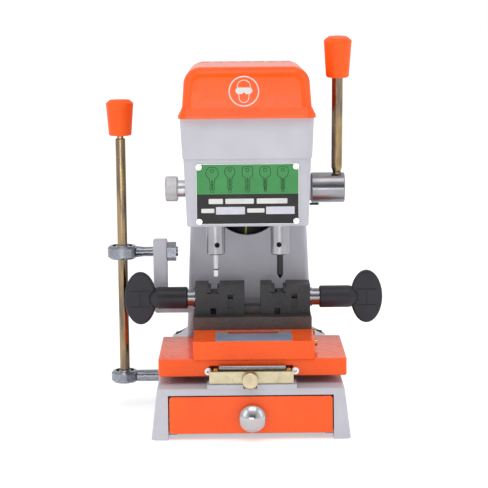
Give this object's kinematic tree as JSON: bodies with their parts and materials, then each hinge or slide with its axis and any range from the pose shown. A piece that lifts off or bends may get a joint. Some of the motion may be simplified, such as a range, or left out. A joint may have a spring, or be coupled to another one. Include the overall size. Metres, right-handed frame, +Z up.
{
  "type": "key duplicating machine",
  "caption": "Bench key copier: vertical cutter and tracer in a lever-fed head over a twin key vise on a lever-moved XY table, with belt drive and a base drawer.",
  "frame": {"origin": "centre of the base's footprint on the bench", "axes": "+X to the operator's right, +Y away from the operator, +Z up"},
  "size_m": [0.2758, 0.2536, 0.3764],
  "materials": {
    "casting_grey": "pale grey enamel",
    "orange_gloss": "glossy orange enamel",
    "orange_matt": "orange moulded plastic",
    "cover_black": "black powder coat",
    "tray_grey": "grey painted sheet steel",
    "plate_print": "printed aluminium plate",
    "steel_dark": "blackened steel",
    "steel_screw": "bright screws",
    "steel_ground": "ground steel",
    "rod_end_zinc": "bright zinc-plated steel",
    "steel_milled": "blackened milled steel",
    "steel_vise": "hardened, blackened steel",
    "steel_tool": "high-speed steel",
    "steel_black": "blued steel",
    "spring_steel": "spring wire",
    "aluminium_turned": "turned aluminium",
    "carrier_aluminium": "cast aluminium",
    "belt_rubber": "round polyurethane belt",
    "zinc_yellow": "yellow zinc-plated steel",
    "brass_screw": "brass",
    "chrome_knob": "polished chrome",
    "plastic_black": "black moulded plastic",
    "rocker_red": "red plastic",
    "wire_green_yellow": "green and yellow insulation"
  },
  "bodies": {
    "machine": {"base_casting": "casting_grey", "column_casting": "casting_grey", "column_bolts": "steel_dark", "head_casting": "casting_grey", "belt_cover": "orange_gloss", "rear_cover": "cover_black", "rear_cover_screws": "steel_screw", "data_plate": "plate_print", "data_plate_screws": "steel_screw", "motor_body": "cover_black", "drive_belt": "belt_rubber", "carrier_guide_rods": "steel_ground", "lower_rod_end": "rod_end_zinc", "power_switch": "plastic_black", "cable_gland": "plastic_black", "earth_wire": "wire_green_yellow"},
    "motor_rotor": {"motor_shaft": "steel_ground", "motor_pulley": "aluminium_turned"},
    "driven_pulley": {"spindle_pulley": "aluminium_turned"},
    "carriage": {"spindle_carrier": "carrier_aluminium", "spindle_bearings": "steel_ground", "tracer_sleeve": "steel_ground", "tracer_pin": "steel_black", "carrier_springs": "spring_steel"},
    "spindle": {"cutter_spindle": "steel_ground", "cutter": "steel_tool"},
    "feed_lever": {"feed_pinion_shaft": "steel_ground", "feed_hub": "steel_ground", "feed_lever_rod": "zinc_yellow", "feed_lever_knob": "orange_matt"},
    "z_lock": {"z_lock_knob": "steel_ground"},
    "y_stage": {"lower_table": "orange_gloss", "y_guide_shafts": "steel_ground", "lock_plate": "zinc_yellow", "lock_rod": "steel_ground"},
    "table_lock": {"lock_screw": "steel_ground"},
    "x_stage": {"upper_table": "orange_gloss", "x_guide_shafts": "steel_ground", "shaft_end_screws": "brass_screw", "vise_base_plate": "steel_milled", "vise_bodies": "steel_vise", "rod_end_bracket": "casting_grey", "upper_rod_end": "rod_end_zinc", "rod_end_nut": "rod_end_zinc"},
    "left_jaw": {"jaw_left": "steel_vise"},
    "right_jaw": {"jaw_right": "steel_vise"},
    "left_clamp": {"clamp_screw_left": "steel_ground", "clamp_knob_left": "plastic_black"},
    "right_clamp": {"clamp_screw_right": "steel_ground", "clamp_knob_right": "plastic_black"},
    "lower_joint": {"lower_liner": "steel_dark"},
    "table_lever": {"lower_ball": "steel_ground", "xy_lever_rod": "zinc_yellow", "xy_lever_knob": "orange_matt"},
    "upper_joint": {"upper_liner": "steel_dark"},
    "upper_swivel": {"upper_ball": "steel_ground"},
    "drawer": {"drawer_front": "orange_gloss", "drawer_tray": "tray_grey", "drawer_knob": "chrome_knob"},
    "rocker": {"switch_rocker": "rocker_red"}
  },
  "joints": [
    {"name": "motor_spin", "type": "hinge", "parent": "machine", "child": "motor_rotor", "pos_m": [-0.001, 0.0678, 0.3], "axis": [0, 0, 1], "continuous": true},
    {"name": "pulley_spin", "type": "hinge", "parent": "machine", "child": "driven_pulley", "pos_m": [-0.033, -0.0133, 0.3], "axis": [0, 0, 1], "continuous": true},
    {"name": "feed_turn", "type": "hinge", "parent": "machine", "child": "feed_lever", "pos_m": [0, 0.009, 0.225], "axis": [1, 0, 0], "range_deg": [0, 65.4]},
    {"name": "carriage_slide", "type": "slide", "parent": "machine", "child": "carriage", "axis": [0, 0, -1], "range_m": [0, 0.008], "stiffness_N_per_m": 1500, "springref_m": -0.025, "deforming": ["carrier_springs"]},
    {"name": "spindle_spin", "type": "hinge", "parent": "carriage", "child": "spindle", "pos_m": [-0.033, -0.0133, 0.24], "axis": [0, 0, 1], "continuous": true},
    {"name": "z_lock_turn", "type": "hinge", "parent": "machine", "child": "z_lock", "pos_m": [-0.07, 0.009, 0.225], "axis": [1, 0, 0], "range_deg": [0, 360]},
    {"name": "y_slide", "type": "slide", "parent": "machine", "child": "y_stage", "axis": [0, -1, 0], "range_m": [0, 0.024]},
    {"name": "table_lock_turn", "type": "hinge", "parent": "y_stage", "child": "table_lock", "pos_m": [-0.0005, -0.11, 0.0569], "axis": [0, 1, 0], "range_deg": [0, 360]},
    {"name": "x_slide", "type": "slide", "parent": "y_stage", "child": "x_stage", "axis": [1, 0, 0], "range_m": [-0.012, 0.012]},
    {"name": "left_clamp_turn", "type": "hinge", "parent": "x_stage", "child": "left_clamp", "pos_m": [-0.06, -0.01365, 0.118], "axis": [1, 0, 0], "range_deg": [0, 540]},
    {"name": "right_clamp_turn", "type": "hinge", "parent": "x_stage", "child": "right_clamp", "pos_m": [0.07, -0.01365, 0.118], "axis": [1, 0, 0], "range_deg": [0, 540]},
    {"name": "left_jaw_slide", "type": "slide", "parent": "x_stage", "child": "left_jaw", "axis": [1, 0, 0], "range_m": [0, 0.003]},
    {"name": "right_jaw_slide", "type": "slide", "parent": "x_stage", "child": "right_jaw", "axis": [1, 0, 0], "range_m": [0, 0.003]},
    {"name": "lower_joint_roll", "type": "hinge", "parent": "machine", "child": "lower_joint", "pos_m": [-0.1278, 0.016, 0.032], "axis": [0, 1, 0], "range_deg": [-5.36, 5.36]},
    {"name": "lever_pitch", "type": "hinge", "parent": "lower_joint", "child": "table_lever", "pos_m": [-0.1278, 0.016, 0.032], "axis": [1, 0, 0], "range_deg": [0, 10.61]},
    {"name": "upper_joint_roll", "type": "hinge", "parent": "x_stage", "child": "upper_joint", "pos_m": [-0.1278, 0.016, 0.1604], "axis": [0, 1, 0], "range_deg": [-5.36, 5.36]},
    {"name": "upper_swivel_pitch", "type": "hinge", "parent": "upper_joint", "child": "upper_swivel", "pos_m": [-0.1278, 0.016, 0.1604], "axis": [1, 0, 0], "range_deg": [0, 10.61]},
    {"name": "drawer_slide", "type": "slide", "parent": "machine", "child": "drawer", "axis": [0, -1, 0], "range_m": [0, 0.15]},
    {"name": "rocker_tilt", "type": "hinge", "parent": "machine", "child": "rocker", "pos_m": [0.028, 0.106, 0.106], "axis": [1, 0, 0], "range_deg": [-8, 8]}
  ],
  "couplings": [
    {"joint": "pulley_spin", "follows": "motor_spin", "ratio": 1.2727},
    {"joint": "spindle_spin", "follows": "motor_spin", "ratio": 1.2727},
    {"joint": "carriage_slide", "follows": "feed_turn", "m_per_rad": 0.007},
    {"joint": "left_jaw_slide", "follows": "left_clamp_turn", "m_per_rad": 0.0003183},
    {"joint": "right_jaw_slide", "follows": "right_clamp_turn", "m_per_rad": 0.0003183},
    {"joint": "lower_joint_roll", "follows": "x_slide", "rad_per_m": 7.7656},
    {"joint": "upper_joint_roll", "follows": "x_slide", "rad_per_m": 7.7656},
    {"joint": "lever_pitch", "follows": "y_slide", "rad_per_m": 7.6993},
    {"joint": "upper_swivel_pitch", "follows": "y_slide", "rad_per_m": 7.6993}
  ]
}
